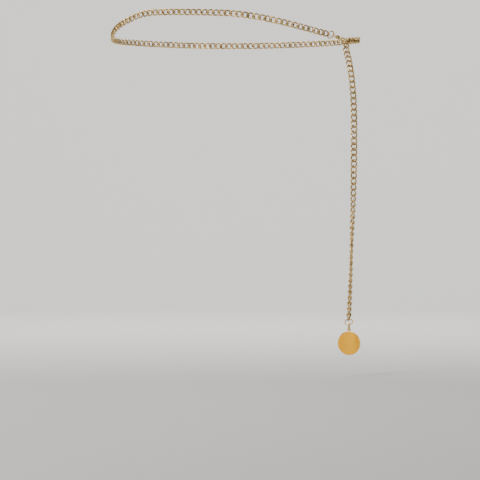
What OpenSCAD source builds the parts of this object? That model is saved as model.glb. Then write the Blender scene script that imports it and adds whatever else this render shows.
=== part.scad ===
// A waist chain of twisted oval links. The loop sits level at the back and sides and rides up in
// front. A lobster clasp closes it round one of its own links, and what is left of the chain
// hangs from that link, with a ring, a smaller ring and a plain round disc at its end.
// The origin is the middle of the loop at the height of its back, with the wearer's front at -Y.

/* [Waist loop] */
// Width of the loop, from the middle of the chain at one side to the other
waist_w = 268; // [220:2:320]
// Depth of the loop, from the middle of the chain in front to the back
waist_d = 160; // [130:2:210]
// How much higher the front of the loop rides than its back
front_rise = 21; // [0:1:30]
// How far down the hanging chain reaches from the loop's last link
hang_l = 296; // [240:2:340]

/* [Chain] */
// Outer length of a link
link_l = 9.8; // [9.4:0.05:10.2]
// Outer width of a link
link_w = 7.2; // [6.8:0.1:7.8]
// Thickness of the links' wire
wire_d = 1.7; // [1.4:0.05:1.75]
// How far the four corners of a link are bent out of its middle plane
link_bend = 1.25; // [1.15:0.05:1.35]
// Play along the chain between the wires of two links
link_play = 0.3; // [0.2:0.05:0.5]

/* [Rings] */
// Outer diameter of the ring that holds the clasp
clasp_ring_d = 9.2; // [8.6:0.1:10.4]
// Outer diameter of the ring at the end of the hanging chain
drop_ring_d = 9.4; // [8.8:0.1:10.4]
// Outer diameter of the ring that holds the disc
disc_ring_d = 8; // [7.4:0.1:9]
// Thickness of the wire of all three rings
ring_wire_d = 1.2; // [0.9:0.05:1.3]
// Width of the cut where a ring's ends meet
ring_cut = 0.12; // [0.05:0.01:0.3]

/* [Clasp] */
// Length of the clasp over its eye and its hook
clasp_l = 23; // [22:0.5:26]
// Thickness of the clasp's barrel at its widest
barrel_d = 4.5; // [4.3:0.1:5]
// Thickness of the hook's wire
hook_d = 1.8; // [1.5:0.1:1.9]
// Outer diameter of the clasp's eye
eye_d = 5; // [4.8:0.1:5.6]
// Hole in the clasp's eye
eye_hole_d = 3; // [2.8:0.1:3.2]
// Thickness of the lever
lever_t = 1.7; // [1.3:0.1:1.8]
// Diameter of the rivet that the lever turns on
rivet_d = 1; // [0.8:0.1:1.1]

/* [Disc] */
// Diameter of the disc
disc_d = 25; // [20:0.5:32]
// Thickness of the disc
disc_t = 1.5; // [1:0.1:2.5]
// Width of the bevel round the disc's edge
disc_bevel = 0.4; // [0.1:0.1:0.5]
// Outer diameter of the loop soldered to the disc's edge
loop_d = 4.4; // [4:0.1:5]
// Thickness of that loop's wire
loop_wire_d = 1; // [0.7:0.1:1.1]

/* [Hidden] */
gold = "#d8b46a";
pale_gold = "#e6cf94";
disc_gold = "#dba757";
$fn = 48;
full_turn = 360;

// Gap left between two pieces of wire where one hangs in or holds the other
seat_gap = 0.2;
// The same gap where a ring crosses a link, which its bent corners would otherwise touch
ring_gap = 0.4;
// Gap left between pieces that slide past each other
slide_gap = 0.15;
link_sides = 10;
wire_sides = 5;

// How high the loop rides at chosen angles round the waist, from the front towards the right hip:
// the angle and the share of front_rise. Left of the clasp the chain climbs steeply from the hip.
ride = [
    [-180, 0], [-130, 0], [-90, 0], [-74, 0.36], [-58, 0.71], [-46, 0.95], [-34, 0.97], [-18, 0.91],
    [-2, 0.83], [10, 0.67], [24, 0.38], [40, 0.05], [50, -0.1], [62, -0.26], [75, -0.19],
    [90, -0.1], [130, 0], [180, 0]
];
// Angle round the waist at which the loop ends, at the last link before the one in the hook
hang_angle = 66;
// The start of the hanging end, from that last link: right, back and up, and the way the links
// face, in degrees from the front towards the right hip. The first row is the link in the hook.
drape = [
    [-2.6, -4.6, -1.8, 20],
    [-4.1, -8.1, -6.2, 5],
    [-4, -11.2, -12.1, 0],
    [-2.2, -16.5, -21, 8],
    [-0.6, -21.5, -31, 14],
    [1, -25.5, -45, 16],
    [2.6, -28.5, -65, 14]
];
// From there it hangs this far back, almost straight: the share of hang_l down, right, and the
// way the links face
plumb_back = -29.5;
plumb = [
    [0.32, 3.2, 6], [0.46, 3, -20], [0.59, 2.2, -56], [0.7, 0.9, -82], [0.78, 0.2, -92],
    [0.87, -0.6, -103], [0.94, -1.5, -112], [1, -2.4, -118]
];

// Where the hook runs through its link, from the middle of the link
hook_spot = [-0.05, -0.75, -0.2];
// How far the clasp is rolled about its own length, its lever turned up
clasp_roll = 12;
// The way the clasp's ring faces, and how far it leans
clasp_ring_face = 47;
clasp_ring_lean = 30;
// Lean of the ring at the end of the chain, its lower side to the front, and its roll about that
drop_ring_lean = 46;
drop_ring_roll = 12;
// The way the disc's ring and the disc face
disc_ring_face = 98;
disc_face = -22;

function unit(v) = v / norm(v);
function facing(a) = [sin(a), -cos(a), 0];
// Part of a direction that is square to another
function square_to(v, way) = unit(v - (v * way) * way);
// A direction made square to another and then rolled about it
function rolled(v, way, a) =
    let (out = square_to(v, way)) cos(a) * out + sin(a) * cross(way, out);

// A smooth curve through rows of numbers, at a key between those of the rows
function slope(keys, rows, i) =
    let (a = max(i - 1, 0), b = min(i + 1, len(keys) - 1)) (rows[b] - rows[a]) / (keys[b] - keys[a]);
function curve(keys, rows, x) =
    let (i = max([for (j = [0 : len(keys) - 2]) if (j == 0 || keys[j] <= x) j]))
    let (d = keys[i + 1] - keys[i], s = (x - keys[i]) / d)
    (2 * s ^ 3 - 3 * s ^ 2 + 1) * rows[i] + (s ^ 3 - 2 * s ^ 2 + s) * d * slope(keys, rows, i)
    + (3 * s ^ 2 - 2 * s ^ 3) * rows[i + 1] + (s ^ 3 - s ^ 2) * d * slope(keys, rows, i + 1);
// Lengths from the start of a row of points to each of them
function lengths(points) =
    [for (i = 0, s = 0; i < len(points);
          s = s + (i + 1 < len(points) ? norm(points[i + 1] - points[i]) : 0), i = i + 1) s];

// The loop
ride_angles = [for (r = ride) r[0]];
ride_shares = [for (r = ride) r[1]];
function about(t) = t > full_turn / 2 ? t - full_turn : t;
function on_waist(t) = [
    waist_w / 2 * sin(t),
    -waist_d / 2 * cos(t),
    front_rise * curve(ride_angles, ride_shares, about(t))
];
function out_of_waist(t) = unit([sin(t) / waist_w, -cos(t) / waist_d, 0]);
// Angle at which the loop is a given distance from a point, closer and closer guesses
function angle_off(point, distance, t, tries = 12) =
    tries == 0 ? t
    : let (d = norm(on_waist(t) - point), w = norm(on_waist(t + 0.5) - on_waist(t - 0.5)))
      angle_off(point, distance, t + (d - distance) / w, tries - 1);

// A link's middle line and its direction
link_a = (link_l - wire_d) / 2;
link_b = (link_w - wire_d) / 2;
pitch = link_l - 2 * wire_d - link_play;
function link_line(t) = [link_a * cos(t), link_b * sin(t), -link_bend * sin(2 * t)];
function link_way(t) = unit([-link_a * sin(t), link_b * cos(t), -2 * link_bend * cos(2 * t)]);
link_points = [
    for (i = [0 : link_sides - 1])
        let (t = full_turn * i / link_sides, way = link_way(t), side = unit(cross([0, 0, 1], way)))
        for (k = [0 : wire_sides - 1])
            let (turn = full_turn * k / wire_sides)
            link_line(t) + wire_d / 2 * (cos(turn) * side + sin(turn) * cross(way, side))
];
link_faces = [
    for (i = [0 : link_sides - 1])
        for (k = [0 : wire_sides - 1])
            let (a = i * wire_sides, b = (i + 1) % link_sides * wire_sides, n = (k + 1) % wire_sides)
            each [[a + k, b + n, a + n], [a + k, b + k, b + n]]
];

// A piece's place: its point, its length, its width and the way it faces
function place(point, way, face) =
    let (out = square_to(face, way)) [point, way, cross(out, way), out];
function at(p, v) = p[0] + v[0] * p[1] + v[1] * p[2] + v[2] * p[3];
function places(points, faces) = [
    for (i = [0 : len(points) - 1])
        let (way = unit(points[min(i + 1, len(points) - 1)] - points[max(i - 1, 0)]))
        place(points[i], way, faces[i])
];

// The link in the hook and the start of the hanging end
hang = [each drape, for (r = plumb) [r[1], plumb_back, -r[0] * hang_l, r[2]]];
hang_from = on_waist(hang_angle);
hang_points = [for (r = hang) hang_from + [r[0], r[1], r[2]]];
hook_link = place(hang_points[0], unit(hang_points[1] - hang_from), facing(hang[0][3]));

// The clasp, from its eye to its hook
hook_point = at(hook_link, hook_spot);
hook_bend = 3.5;
eye_slack = (eye_hole_d - ring_wire_d) / 2 - ring_gap;
clasp_reach = clasp_l - eye_d / 2 - hook_d / 2;
clasp_ring_r = (clasp_ring_d - ring_wire_d) / 2;
ring_angle = angle_off(hook_point, clasp_ring_r + eye_slack + clasp_reach, hang_angle - 15);
ring_point = on_waist(ring_angle);
clasp_way = unit(hook_point - ring_point);
clasp_up = rolled(out_of_waist((ring_angle + hang_angle) / 2), clasp_way, -clasp_roll);
clasp_place = [hook_point - clasp_reach * clasp_way, clasp_way, clasp_up, cross(clasp_way, clasp_up)];
clasp_ring_out = rolled(facing(clasp_ring_face), clasp_way, clasp_ring_lean);
clasp_ring_place = place(ring_point, clasp_way, clasp_ring_out);

// The loop's links, evenly spaced from the clasp's ring round the back to the hanging end
ring_link_reach = clasp_ring_r + link_a - (wire_d + ring_wire_d) / 2 - ring_gap;
loop_end = angle_off(ring_point, ring_link_reach, ring_angle - 3) + full_turn;
loop_steps = 360;
loop_angles = [for (i = [0 : loop_steps]) hang_angle + (loop_end - hang_angle) * i / loop_steps];
loop_lengths = lengths([for (t = loop_angles) on_waist(t)]);
loop_l = loop_lengths[loop_steps];
loop_links = round(loop_l / pitch);
loop_table = [for (i = [0 : loop_steps]) [loop_lengths[i], loop_angles[i]]];
link_angles = [for (i = [0 : loop_links]) lookup(loop_l * (1 - i / loop_links), loop_table)];

// The hanging links, evenly spaced from the one below the hook
tail_rows = [for (i = [1 : len(hang) - 1]) [each hang_points[i], hang[i][3]]];
tail_keys = lengths([for (i = [1 : len(hang) - 1]) hang_points[i]]);
tail_steps = 300;
tail_xs = [for (i = [0 : tail_steps]) tail_keys[len(tail_keys) - 1] * i / tail_steps];
tail_curve = [for (x = tail_xs) curve(tail_keys, tail_rows, x)];
tail_lengths = lengths([for (r = tail_curve) [r[0], r[1], r[2]]]);
tail_l = tail_lengths[tail_steps];
tail_links = ceil(tail_l / pitch);
tail_table = [for (i = [0 : tail_steps]) [tail_lengths[i], tail_xs[i]]];
tail_links_at = [
    for (i = [0 : tail_links]) curve(tail_keys, tail_rows, lookup(tail_l * i / tail_links, tail_table))
];

chain_points = [
    for (t = link_angles) on_waist(t),
    hang_points[0],
    for (r = tail_links_at) [r[0], r[1], r[2]]
];
chain_faces = [
    for (t = link_angles) out_of_waist(t),
    facing(hang[0][3]),
    for (r = tail_links_at) facing(r[3])
];
chain_places = places(chain_points, chain_faces);
last_loop_link = loop_links + 1;
last_link = chain_places[len(chain_places) - 1];

// The rings and the disc below the chain, each hanging in the one above
drop_ring_r = (drop_ring_d - ring_wire_d) / 2;
drop_ring_top = at(last_link, [link_a - (wire_d + ring_wire_d) / 2 - ring_gap, 0, 0]);
drop_ring_way = [0, -sin(drop_ring_lean), -cos(drop_ring_lean)];
drop_ring_point = drop_ring_top + drop_ring_r * drop_ring_way;
drop_ring_bottom = drop_ring_point + drop_ring_r * drop_ring_way;
disc_ring_r = (disc_ring_d - ring_wire_d) / 2;
disc_ring_point = drop_ring_bottom - [0, 0, disc_ring_r - ring_wire_d - seat_gap];
disc_ring_bottom = disc_ring_point - [0, 0, disc_ring_r];
loop_r = (loop_d - loop_wire_d) / 2;
loop_point = disc_ring_bottom - [0, 0, loop_r - (ring_wire_d + loop_wire_d) / 2 - ring_gap];
disc_point = loop_point - [0, 0, disc_d / 2 + loop_r - loop_wire_d / 4];

module lay(p) {
    multmatrix([
        [p[1][0], p[2][0], p[3][0], p[0][0]],
        [p[1][1], p[2][1], p[3][1], p[0][1]],
        [p[1][2], p[2][2], p[3][2], p[0][2]],
        [0, 0, 0, 1]
    ]) children();
}

module chain(first, last) {
    polyhedron(
        points = [for (i = [first : last]) for (v = link_points) at(chain_places[i], v)],
        faces = [
            for (i = [0 : last - first])
                for (f = link_faces) [for (v = f) v + i * len(link_points)]
        ]
    );
}

// A ring of round wire in its own XY plane, with its cut turned to an angle
module jump_ring(r, cut_at) {
    gap = ring_cut / r * full_turn / (2 * PI);
    rotate(cut_at + gap / 2)
        rotate_extrude(angle = full_turn - gap)
            translate([r, 0])
                circle(d = ring_wire_d);
}

// The clasp's own X runs from its eye to its hook, and its lever is on the +Y side
barrel_r = barrel_d / 2;
barrel_start = 2;
barrel_end = 11;
eye_wire_d = (eye_d - eye_hole_d) / 2;
hook_middle = clasp_reach - hook_bend;
hook_back = -105;
hook_tip = 105;
hook_back_at = [hook_middle + hook_bend * cos(hook_back), hook_bend * sin(hook_back)];
hook_tip_at = [hook_middle + hook_bend * cos(hook_tip), hook_bend * sin(hook_tip)];
hook_overlap = 4;
bead_r = hook_d / 2 + 0.1;
arm_r = hook_d / 2 + 0.1;
arm_start = 8;
arm_l = (hook_back_at[0] - arm_start) / sin(-hook_back);
slot_start = 5.2;
slot_floor = -1.05;
slot_w = lever_t + 2 * slide_gap;
pivot = [7, 0.6];
lever_root_r = 1.15;
lever_tip_r = 0.7;
lever_tip_turn = 42;
stop_gap = 0.04;
// The lever's tip stops against the bead on the hook's tip, from the inside
lever_tip = hook_tip_at - (bead_r + lever_tip_r + stop_gap) * [cos(lever_tip_turn), sin(lever_tip_turn)];
lever_way = unit(lever_tip - pivot);
lever_across = [-lever_way[1], lever_way[0]];
lever_side = 0.08;
thumb_at = [9.4, 2.2];
thumb_r = 1.1;

module barrel() {
    rotate([0, 90, 0])
        rotate_extrude()
            polygon([
                [0, barrel_start], [0.35 * barrel_r, barrel_start], [0.68 * barrel_r, 3],
                [0.9 * barrel_r, 4.4], [barrel_r, 6.4], [0.95 * barrel_r, 8.6],
                [0.7 * barrel_r, barrel_end], [0, barrel_end]
            ]);
}

module eye() {
    rotate_extrude()
        translate([(eye_d - eye_wire_d) / 2, 0])
            circle(d = eye_wire_d);
}

module hook() {
    translate([hook_middle, 0, 0])
        rotate(hook_back - hook_overlap)
            rotate_extrude(angle = hook_tip - hook_back + hook_overlap)
                translate([hook_bend, 0])
                    circle(d = hook_d);
    translate(hook_tip_at)
        sphere(r = bead_r);
    translate(hook_back_at)
        rotate(hook_back - 90)
            rotate([0, 90, 0])
                cylinder(h = arm_l, r = arm_r);
}

module clasp_body() {
    color(gold) lay(clasp_place) difference() {
        union() {
            eye();
            barrel();
            hook();
        }
        translate([slot_start, slot_floor, -slot_w / 2])
            cube([barrel_end + 1 - slot_start, barrel_d, slot_w]);
        translate([pivot[0], pivot[1], -barrel_d])
            cylinder(h = 2 * barrel_d, d = rivet_d);
    }
}

module lever_piece(middle, r) {
    translate([middle[0], middle[1], -lever_t / 2])
        cylinder(h = lever_t, r = r);
}

module clasp_lever() {
    root_side = (lever_root_r - lever_side) * lever_across;
    tip_side = (lever_tip_r - lever_side) * lever_across;
    color(gold) lay(clasp_place) difference() {
        union() {
            lever_piece(pivot, lever_root_r);
            lever_piece(lever_tip, lever_tip_r);
            lever_piece(thumb_at, thumb_r);
            translate([0, 0, -lever_t / 2])
                linear_extrude(height = lever_t)
                    polygon([
                        pivot - root_side, lever_tip - tip_side, lever_tip + tip_side, pivot + root_side
                    ]);
        }
        translate([pivot[0], pivot[1], -lever_t])
            cylinder(h = 2 * lever_t, d = rivet_d + slide_gap);
    }
}

module clasp_rivet() {
    color(pale_gold) lay(clasp_place)
        translate([pivot[0], pivot[1], -barrel_d / 2])
            cylinder(h = barrel_d, d = rivet_d);
}

module clasp_ring() {
    color(gold) lay(clasp_ring_place) jump_ring(clasp_ring_r, 90);
}

module drop_ring() {
    color(gold)
        lay(place(drop_ring_point, drop_ring_way, rolled([0, -1, 0], drop_ring_way, drop_ring_roll)))
        jump_ring(drop_ring_r, 90);
}

module disc_ring() {
    color(gold) lay(place(disc_ring_point, [0, 0, -1], facing(disc_ring_face)))
        jump_ring(disc_ring_r, -90);
}

// The disc's own X points down
module disc() {
    flat_r = disc_d / 2 - disc_bevel;
    flat_t = disc_t / 2 - disc_bevel;
    color(disc_gold) lay(place(disc_point, [0, 0, -1], facing(disc_face))) {
        rotate_extrude()
            polygon([
                [0, -disc_t / 2], [flat_r, -disc_t / 2], [disc_d / 2, -flat_t],
                [disc_d / 2, flat_t], [flat_r, disc_t / 2], [0, disc_t / 2]
            ]);
        translate([-norm(disc_point - loop_point), 0, 0])
            rotate_extrude()
                translate([loop_r, 0])
                    circle(d = loop_wire_d);
    }
}

module waist_chain() {
    color(gold) chain(0, last_loop_link);
}

module drop_chain() {
    color(pale_gold) chain(last_loop_link + 1, len(chain_places) - 1);
}

waist_chain();
drop_chain();
clasp_ring();
clasp_body();
clasp_lever();
clasp_rivet();
drop_ring();
disc_ring();
disc();
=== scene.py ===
import math
import random

import bpy
import bmesh
import numpy as np
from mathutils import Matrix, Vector


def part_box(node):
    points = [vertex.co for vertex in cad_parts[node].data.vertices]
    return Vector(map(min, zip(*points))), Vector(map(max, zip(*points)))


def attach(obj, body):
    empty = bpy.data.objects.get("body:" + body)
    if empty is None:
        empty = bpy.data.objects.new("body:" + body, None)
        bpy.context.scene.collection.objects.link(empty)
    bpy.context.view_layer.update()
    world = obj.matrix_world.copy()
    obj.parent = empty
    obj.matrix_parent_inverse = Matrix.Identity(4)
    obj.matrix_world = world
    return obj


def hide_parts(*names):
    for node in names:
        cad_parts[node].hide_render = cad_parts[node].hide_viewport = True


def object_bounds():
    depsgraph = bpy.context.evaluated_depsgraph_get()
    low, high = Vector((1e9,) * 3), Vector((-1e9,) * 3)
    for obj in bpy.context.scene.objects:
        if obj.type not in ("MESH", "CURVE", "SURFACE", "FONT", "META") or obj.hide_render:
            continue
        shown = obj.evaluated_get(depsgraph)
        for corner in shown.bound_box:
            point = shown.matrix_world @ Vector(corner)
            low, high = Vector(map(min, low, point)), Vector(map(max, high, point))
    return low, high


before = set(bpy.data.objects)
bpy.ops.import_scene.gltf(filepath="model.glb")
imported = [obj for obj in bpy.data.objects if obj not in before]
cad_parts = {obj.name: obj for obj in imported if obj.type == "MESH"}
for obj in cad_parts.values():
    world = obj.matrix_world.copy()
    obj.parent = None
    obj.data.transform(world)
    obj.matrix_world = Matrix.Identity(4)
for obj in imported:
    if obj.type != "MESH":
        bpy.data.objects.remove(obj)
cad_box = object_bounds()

# The chain: a curb chain of oval links, each bent from round brass wire, soldered shut and twisted
# so that its four corners lie out of its plane, then gold plated. Each link's hole is painted
# darker
# and warmer than its outside: painted shade in the hollow of the link, where drum polishing also
# reaches less. Every size in this script is in metres.
MM = 0.001
LINK_LENGTH = 9.8 * MM
LINK_WIDTH = 7.2 * MM
LINK_BEND = 1.25 * MM
LINK_WIRE = 1.7 * MM
LINK_SIDES = 36
WIRE_SIDES = 10
SAME_POINT = 0.002 * MM
# How much darker the inside of each link's hole is painted: painted shade
HOLE_PAINTED_SHADE = 0.5
LINK_SHADES = (0.93, 1)
# How much warmer the darker tones turn, the painted shade in the holes among them
GREEN_WARMTH = 1.15
BLUE_WARMTH = 1.5


def loose_links(node):
    """The corner points of each of the node's links, one array for each link."""
    shape = bmesh.new()
    shape.from_mesh(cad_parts[node].data)
    bmesh.ops.remove_doubles(shape, verts=shape.verts, dist=SAME_POINT)
    left = set(shape.verts)
    links = []
    for start in list(shape.verts):
        if start not in left:
            continue
        left.discard(start)
        reached = [start]
        for vert in reached:
            for edge in vert.link_edges:
                other = edge.other_vert(vert)
                if other in left:
                    left.discard(other)
                    reached.append(other)
        links.append(np.array([vert.co[:] for vert in reached]))
    shape.free()
    return links


def link_axes(corners):
    """A link's middle, and its length, width and thickness directions as rows."""
    middle = corners.mean(0)
    ways = np.linalg.eigh((corners - middle).T @ (corners - middle))[1]
    length, width = ways[:, 2], ways[:, 1]
    return middle, np.array([length, width, np.cross(length, width)])


def turns(sides):
    """Angles once round a circle, one for each side."""
    return np.linspace(0, 2 * math.pi, sides, endpoint=False)


def link_surface():
    """A link about its own middle: its bent oval line, with a ring of points round the wire at
    each step along it."""
    half_length = (LINK_LENGTH - LINK_WIRE) / 2
    half_width = (LINK_WIDTH - LINK_WIRE) / 2
    turn = turns(LINK_SIDES)
    line = np.stack([half_length * np.cos(turn),
                     half_width * np.sin(turn),
                     -LINK_BEND * np.sin(2 * turn)], -1)
    along = np.stack([-half_length * np.sin(turn),
                      half_width * np.cos(turn),
                      -2 * LINK_BEND * np.cos(2 * turn)], -1)
    along /= np.linalg.norm(along, axis=1, keepdims=True)
    across = np.cross([0, 0, 1], along)
    across /= np.linalg.norm(across, axis=1, keepdims=True)
    up = np.cross(along, across)
    round_wire = turns(WIRE_SIDES)[None, :, None]
    spokes = np.cos(round_wire) * across[:, None] + np.sin(round_wire) * up[:, None]
    return (line[:, None] + LINK_WIRE / 2 * spokes).reshape(-1, 3)


def faces_between(rings, sides, closed):
    """Four-sided faces from each ring of points to the next, and back to the first if closed."""
    faces = []
    for ring in range(rings if closed else rings - 1):
        here = ring * sides
        there = (ring + 1) % rings * sides
        for side in range(sides):
            beside = (side + 1) % sides
            faces.append((here + side, there + side, there + beside, here + beside))
    return faces


def link_hole_shade():
    """How bright a link's points are: its hole is painted darker than its outside, as painted
    shade.
    """
    inward = np.clip(np.cos(turns(WIRE_SIDES)), 0, 1)
    return np.tile(1 - HOLE_PAINTED_SHADE * inward, LINK_SIDES)


def smooth_object(name, verts, faces):
    """A smoothly shaded mesh object in the scene."""
    mesh = bpy.data.meshes.new(name)
    mesh.from_pydata([tuple(vert) for vert in verts], [], faces)
    mesh.validate()
    mesh.polygons.foreach_set("use_smooth", [True] * len(mesh.polygons))
    piece = bpy.data.objects.new(name, mesh)
    bpy.context.scene.collection.objects.link(piece)
    return piece


def linked_chain(name, node, seed):
    """Round-wired links where the node's links are, each a shade of its own, with painted shade
    inside.
    """
    surface = link_surface()
    pattern = faces_between(LINK_SIDES, WIRE_SIDES, closed=True)
    hole_shade = link_hole_shade()
    shade = random.Random(seed)
    verts, faces, tones_and_shade = [], [], []
    for corners in loose_links(node):
        middle, axes = link_axes(corners)
        start = len(verts)
        verts.extend(middle + surface @ axes)
        faces.extend([tuple(start + vert for vert in face) for face in pattern])
        # Each link's own random shade, times the painted shade in its hole
        tones_and_shade.extend(shade.uniform(*LINK_SHADES) * hole_shade)
    piece = smooth_object(name, verts, faces)
    tone_and_shade = piece.data.color_attributes.new("tone_and_shade", "FLOAT_COLOR", "POINT")
    bright = np.array(tones_and_shade)
    colours = np.stack([bright, bright ** GREEN_WARMTH, bright ** BLUE_WARMTH,
                        np.ones(len(bright))], -1)
    tone_and_shade.data.foreach_set("color", colours.ravel())
    return piece


def add_node(owner, kind, place, **settings):
    """A shader node in a material or world, laid out at the given place."""
    node = owner.node_tree.nodes.new(kind)
    node.location = place
    for key, value in settings.items():
        setattr(node, key, value)
    return node


def noise(material, surface_place, scale, detail, place):
    """Grey noise over the surface."""
    texture = add_node(material, "ShaderNodeTexNoise", place)
    texture.inputs["Scale"].default_value = scale
    texture.inputs["Detail"].default_value = detail
    material.node_tree.links.new(surface_place, texture.inputs["Vector"])
    return texture.outputs["Fac"]


# What every plated piece has in common: where its noise turns from one colour or roughness to the
# other, how fine that noise is, and its scratches
DEEP_UNDER = 0.3
BRIGHT_OVER = 0.62
WEAR_DETAIL = 3
DULL_PATCHES = 3
DULL_BANDS = 1.4
DULL_DETAIL = 4
DULL_UNDER = 0.3
DULL_OVER = 0.7
SHINIEST = 0.75
DULLEST = 1.3
SCRATCH_WIDTH = 0.25 * MM
SCRATCH_DEPTH = 0.02 * MM
SCRATCH_DETAIL = 2
SCRATCH_STRENGTH = 0.12


def plated(name, colour, deep_colour, roughness, wear_and_sheen_size, tone_and_shade=None, brushed=1):
    """Gold plate: two close colours, a roughness that wanders, and the finest scratches. Where it
    is brushed, all three run upright in smooth bands, drawn out that many times, and the colour
    bands are painted reflection; elsewhere the colour patches are wear. The tone is the name of a
    mesh's colours, random tone with painted shade in it, by which the plate's are multiplied."""
    material = bpy.data.materials.new(name)
    material.use_nodes = True
    links = material.node_tree.links
    shader = material.node_tree.nodes["Principled BSDF"]
    shader.inputs["Metallic"].default_value = 1
    coordinates = add_node(material, "ShaderNodeTexCoord", (-1450, 0))
    drawn_out = add_node(material, "ShaderNodeMapping", (-1200, 0))
    drawn_out.inputs["Scale"].default_value = (1, 1, 1 / brushed)
    links.new(coordinates.outputs["Object"], drawn_out.inputs["Vector"])
    surface_place = drawn_out.outputs["Vector"]
    sheen_bands = brushed > 1

    # Smooth upright bands of colour are painted reflection; finer patches are random wear
    wear_and_sheen_detail = 0 if sheen_bands else WEAR_DETAIL
    wear_and_sheen = noise(material, surface_place, 1 / wear_and_sheen_size, wear_and_sheen_detail, (-950, 200))
    colours = add_node(material, "ShaderNodeValToRGB", (-650, 200))
    deep, bright = colours.color_ramp.elements
    deep.position = DEEP_UNDER
    deep.color = (*deep_colour, 1)
    bright.position = BRIGHT_OVER
    bright.color = (*colour, 1)
    links.new(wear_and_sheen, colours.inputs["Fac"])
    plate_colour = colours.outputs["Color"]
    # The mesh's colours hold painted shade in the link holes as well as random tone
    if tone_and_shade:
        tones_and_shade = add_node(material, "ShaderNodeAttribute", (-650, 450), attribute_name=tone_and_shade)
        toned_and_shaded = add_node(material, "ShaderNodeMix", (-350, 300), data_type="RGBA",
                         blend_type="MULTIPLY")
        toned_and_shaded.inputs["Factor"].default_value = 1
        links.new(plate_colour, toned_and_shaded.inputs["A"])
        links.new(tones_and_shade.outputs["Color"], toned_and_shaded.inputs["B"])
        plate_colour = toned_and_shaded.outputs["Result"]
    links.new(plate_colour, shader.inputs["Base Color"])

    dull_scale = (DULL_BANDS if sheen_bands else DULL_PATCHES) / wear_and_sheen_size
    dull_detail = 0 if sheen_bands else DULL_DETAIL
    dull = noise(material, surface_place, dull_scale, dull_detail, (-950, -100))
    spread = add_node(material, "ShaderNodeMapRange", (-650, -100))
    spread.inputs["From Min"].default_value = DULL_UNDER
    spread.inputs["From Max"].default_value = DULL_OVER
    spread.inputs["To Min"].default_value = roughness * SHINIEST
    spread.inputs["To Max"].default_value = roughness * DULLEST
    links.new(dull, spread.inputs["Value"])
    links.new(spread.outputs["Result"], shader.inputs["Roughness"])

    scratch = noise(material, surface_place, 1 / SCRATCH_WIDTH, SCRATCH_DETAIL, (-950, -400))
    bump = add_node(material, "ShaderNodeBump", (-350, -400))
    bump.inputs["Strength"].default_value = SCRATCH_STRENGTH
    bump.inputs["Distance"].default_value = SCRATCH_DEPTH
    links.new(scratch, bump.inputs["Height"])
    links.new(bump.outputs["Normal"], shader.inputs["Normal"])
    return material


# Its colour is multiplied by the links' tone, which holds painted shade in their holes
chain_gold = plated("chain_gold", colour=(0.89, 0.64, 0.27), deep_colour=(0.40, 0.27, 0.09),
                    roughness=0.22, wear_and_sheen_size=6 * MM, tone_and_shade="tone_and_shade")
waist_links = linked_chain("waist_links", "waist_chain", seed=3)
waist_links.data.materials.append(chain_gold)
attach(waist_links, "worn_chain")
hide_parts("waist_chain")

# The hanging end: the rest of the same chain, one length with the loop. It hangs free below the
# link that the clasp's hook holds.
hanging_links = linked_chain("hanging_links", "drop_chain", seed=7)
hanging_links.data.materials.append(chain_gold)
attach(hanging_links, "worn_chain")
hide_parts("drop_chain")

# The rings: round brass wire bent into open circles and pinched shut round what they join, so that
# a fine cut shows in each. Unlike the links, they have no painted shade inside.
ring_gold = plated("ring_gold", colour=(0.76, 0.50, 0.17), deep_colour=(0.34, 0.22, 0.065),
                   roughness=0.24, wear_and_sheen_size=4 * MM)


def finish(node, material):
    """The node's own solid, smoothly shaded, in the given finish."""
    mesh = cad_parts[node].data
    mesh.materials.clear()
    mesh.materials.append(material)
    mesh.polygons.foreach_set("use_smooth", [True] * len(mesh.polygons))


for ring in ("clasp_ring", "drop_ring", "disc_ring"):
    finish(ring, ring_gold)

# The clasp: a lobster clasp cast in one piece with its eye and hook, tumbled and plated, with a
# stamped lever that turns on a rivet and is held shut by a small spring inside.
clasp_gold = plated("clasp_gold", colour=(0.92, 0.72, 0.38), deep_colour=(0.60, 0.45, 0.19),
                    roughness=0.25, wear_and_sheen_size=5 * MM)
rivet_gold = plated("rivet_gold", colour=(0.76, 0.58, 0.29), deep_colour=(0.50, 0.36, 0.15),
                    roughness=0.26, wear_and_sheen_size=2 * MM)
finish("clasp_body", clasp_gold)
finish("clasp_lever", clasp_gold)
finish("clasp_rivet", rivet_gold)

# The disc: blanked from sheet brass, bevelled, given a satin face, with a small wire loop soldered
# on top, then plated in a deeper, more orange gold than the chain. A paler gold painted round its
# rim is a painted highlight, and the upright bands of colour on its face are painted reflection.
DISC_RADIUS = 12.5 * MM
EDGE_HIGHLIGHT_WIDTH = 0.5 * MM
EDGE_HIGHLIGHT_BLUR = 0.1 * MM
# The rim's paler gold, a painted highlight
EDGE_HIGHLIGHT_COLOUR = (1.0, 0.58, 0.12, 1)
EDGE_ROUGHNESS = (0.34, 0.34, 0.34, 1)
# Its upright bands of colour are painted reflection
disc_gold = plated("disc_gold", colour=(1.0, 0.51, 0.03), deep_colour=(0.93, 0.435, 0.018),
                   roughness=0.28, wear_and_sheen_size=10 * MM, brushed=6)


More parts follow.
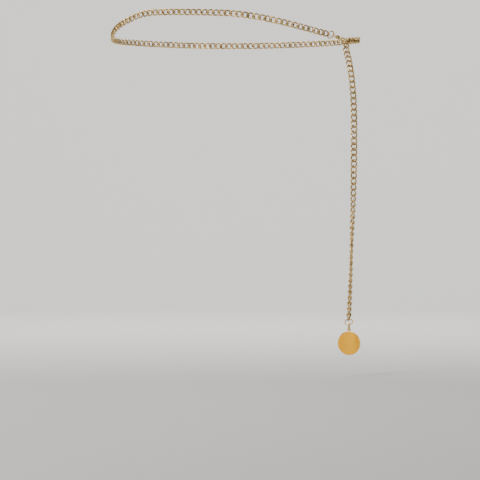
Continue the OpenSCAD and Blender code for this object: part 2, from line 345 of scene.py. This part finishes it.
def edge_highlight(material, middle, radius):
    """A painted highlight outside the given radius: paler, with its own roughness, over the
    plate's.
    """
    links = material.node_tree.links
    shader = material.node_tree.nodes["Principled BSDF"]
    coordinates = add_node(material, "ShaderNodeTexCoord", (-1200, 800))
    reach = add_node(material, "ShaderNodeVectorMath", (-950, 800), operation="DISTANCE")
    reach.inputs[1].default_value = middle
    links.new(coordinates.outputs["Object"], reach.inputs[0])
    edge = add_node(material, "ShaderNodeMapRange", (-650, 800))
    edge.inputs["From Min"].default_value = radius - EDGE_HIGHLIGHT_BLUR
    edge.inputs["From Max"].default_value = radius + EDGE_HIGHLIGHT_BLUR
    links.new(reach.outputs["Value"], edge.inputs["Value"])
    for socket, at_edge, height in (("Base Color", EDGE_HIGHLIGHT_COLOUR, 750),
                                    ("Roughness", EDGE_ROUGHNESS, 500)):
        plain = shader.inputs[socket].links[0].from_socket
        blend = add_node(material, "ShaderNodeMix", (-150, height), data_type="RGBA")
        links.new(edge.outputs["Result"], blend.inputs["Factor"])
        links.new(plain, blend.inputs["A"])
        blend.inputs["B"].default_value = at_edge
        links.new(blend.outputs["Result"], shader.inputs[socket])


disc_low, disc_high = (Vector(corner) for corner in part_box("disc"))
disc_middle = ((disc_low.x + disc_high.x) / 2,
               (disc_low.y + disc_high.y) / 2,
               disc_low.z + DISC_RADIUS)
# Paint the highlight round the disc's rim
edge_highlight(disc_gold, disc_middle, DISC_RADIUS - EDGE_HIGHLIGHT_WIDTH)
finish("disc", disc_gold)

# The studio floor: a round sheet of pale matt paper, a little below the disc, that sweeps up into a
# wall all round, so that it is the same from every side.
FLOOR_UNDER = 22 * MM
FLOOR_MIDDLE_Y = -0.15
CENTRE_RADIUS = 0.02
FLAT_RADIUS = 1.9
SWEEP_RADIUS = 1.0
WALL_HEIGHT = 2.6
FLOOR_SIDES = 96
SWEEP_STEPS = 24
PAPER_COLOUR = (0.58, 0.575, 0.56, 1)
PAPER_ROUGHNESS = 0.9

floor_z = cad_box[0][2] - FLOOR_UNDER
profile = [(CENTRE_RADIUS, floor_z)]
for step in range(SWEEP_STEPS + 1):
    rise = math.pi / 2 * step / SWEEP_STEPS
    profile.append((FLAT_RADIUS + SWEEP_RADIUS * math.sin(rise),
                    floor_z + SWEEP_RADIUS * (1 - math.cos(rise))))
profile.append((FLAT_RADIUS + SWEEP_RADIUS, floor_z + WALL_HEIGHT))
floor_verts = [(radius * math.cos(turn), FLOOR_MIDDLE_Y + radius * math.sin(turn), z)
               for radius, z in profile
               for turn in turns(FLOOR_SIDES)]
floor_faces = [tuple(range(FLOOR_SIDES))]
floor_faces += faces_between(len(profile), FLOOR_SIDES, closed=False)
floor = smooth_object("floor", floor_verts, floor_faces)
paper = bpy.data.materials.new("backdrop_paper")
paper.use_nodes = True
paper_shader = paper.node_tree.nodes["Principled BSDF"]
paper_shader.inputs["Base Color"].default_value = PAPER_COLOUR
paper_shader.inputs["Roughness"].default_value = PAPER_ROUGHNESS
floor.data.materials.append(paper)

# The studio light: a dim room, darker below than above, for the gold to reflect, and six soft
# lights. The last one lights the wall behind the chain.
ROOM_LOW = (0.06, 0.06, 0.07, 1)
ROOM_LOW_UNDER = 0.05
ROOM_HIGH = (0.4, 0.41, 0.43, 1)
ROOM_HIGH_OVER = 0.8
ROOM_STRENGTH = 0.35
CHAIN_MIDDLE = (0, 0, -0.15)

world = bpy.data.worlds.new("studio")
world.use_nodes = True
room = world.node_tree.nodes["Background"]
direction = add_node(world, "ShaderNodeTexCoord", (-850, 0))
split = add_node(world, "ShaderNodeSeparateXYZ", (-600, 0))
shades = add_node(world, "ShaderNodeValToRGB", (-350, 0))
low_shade, high_shade = shades.color_ramp.elements
low_shade.position = ROOM_LOW_UNDER
low_shade.color = ROOM_LOW
high_shade.position = ROOM_HIGH_OVER
high_shade.color = ROOM_HIGH
world.node_tree.links.new(direction.outputs["Generated"], split.inputs["Vector"])
world.node_tree.links.new(split.outputs["Z"], shades.inputs["Fac"])
world.node_tree.links.new(shades.outputs["Color"], room.inputs["Color"])
room.inputs["Strength"].default_value = ROOM_STRENGTH
bpy.context.scene.world = world


def soft_light(name, place, size, watts, colour, aim=CHAIN_MIDDLE):
    """A rectangular light of the given width and height, turned towards its aim."""
    data = bpy.data.lights.new(name, "AREA")
    data.shape = "RECTANGLE"
    data.size, data.size_y = size
    data.energy = watts
    data.color = colour
    light = bpy.data.objects.new(name, data)
    light.location = place
    towards = Vector(aim) - Vector(place)
    light.rotation_euler = towards.to_track_quat("-Z", "Y").to_euler()
    bpy.context.scene.collection.objects.link(light)


soft_light("key", (-1.1, -1.5, 0.3), size=(0.9, 1.1), watts=9, colour=(1, 0.98, 0.95))
soft_light("high key", (-1.1, -0.9, 1.0), size=(0.4, 0.4), watts=18, colour=(1, 0.99, 0.96))
soft_light("fill", (1.5, -1.2, 0.35), size=(0.35, 1.1), watts=2, colour=(0.95, 0.97, 1))
soft_light("side", (1.6, -0.05, 0.45), size=(0.3, 0.5), watts=1.6, colour=(1, 0.98, 0.94),
           aim=(0.11, -0.05, 0))
soft_light("top", (-0.2, 0.1, 1.5), size=(1.2, 0.8), watts=20, colour=(1, 1, 1))
soft_light("backdrop", (0, 0.5, 1.3), size=(2.6, 0.5), watts=88, colour=(1, 0.99, 0.97),
           aim=(0, 2.75, 0.4))

# The camera: it stands level with the middle of the hanging end, two metres in front, as in the
# photograph. Its focal length is given in pixels of that square frame.
CAMERA_PLACE = (5 * MM, -2000 * MM, -220 * MM)
FRAME_PIXELS = 480
FOCAL_PIXELS = 1833
SENSOR_WIDTH = 36

camera_data = bpy.data.cameras.new("camera")
camera_data.sensor_width = SENSOR_WIDTH
camera_data.lens = camera_data.sensor_width * FOCAL_PIXELS / FRAME_PIXELS
camera = bpy.data.objects.new("camera", camera_data)
camera.location = CAMERA_PLACE
camera.rotation_euler = (math.pi / 2, 0, 0)
bpy.context.scene.collection.objects.link(camera)
bpy.context.scene.camera = camera
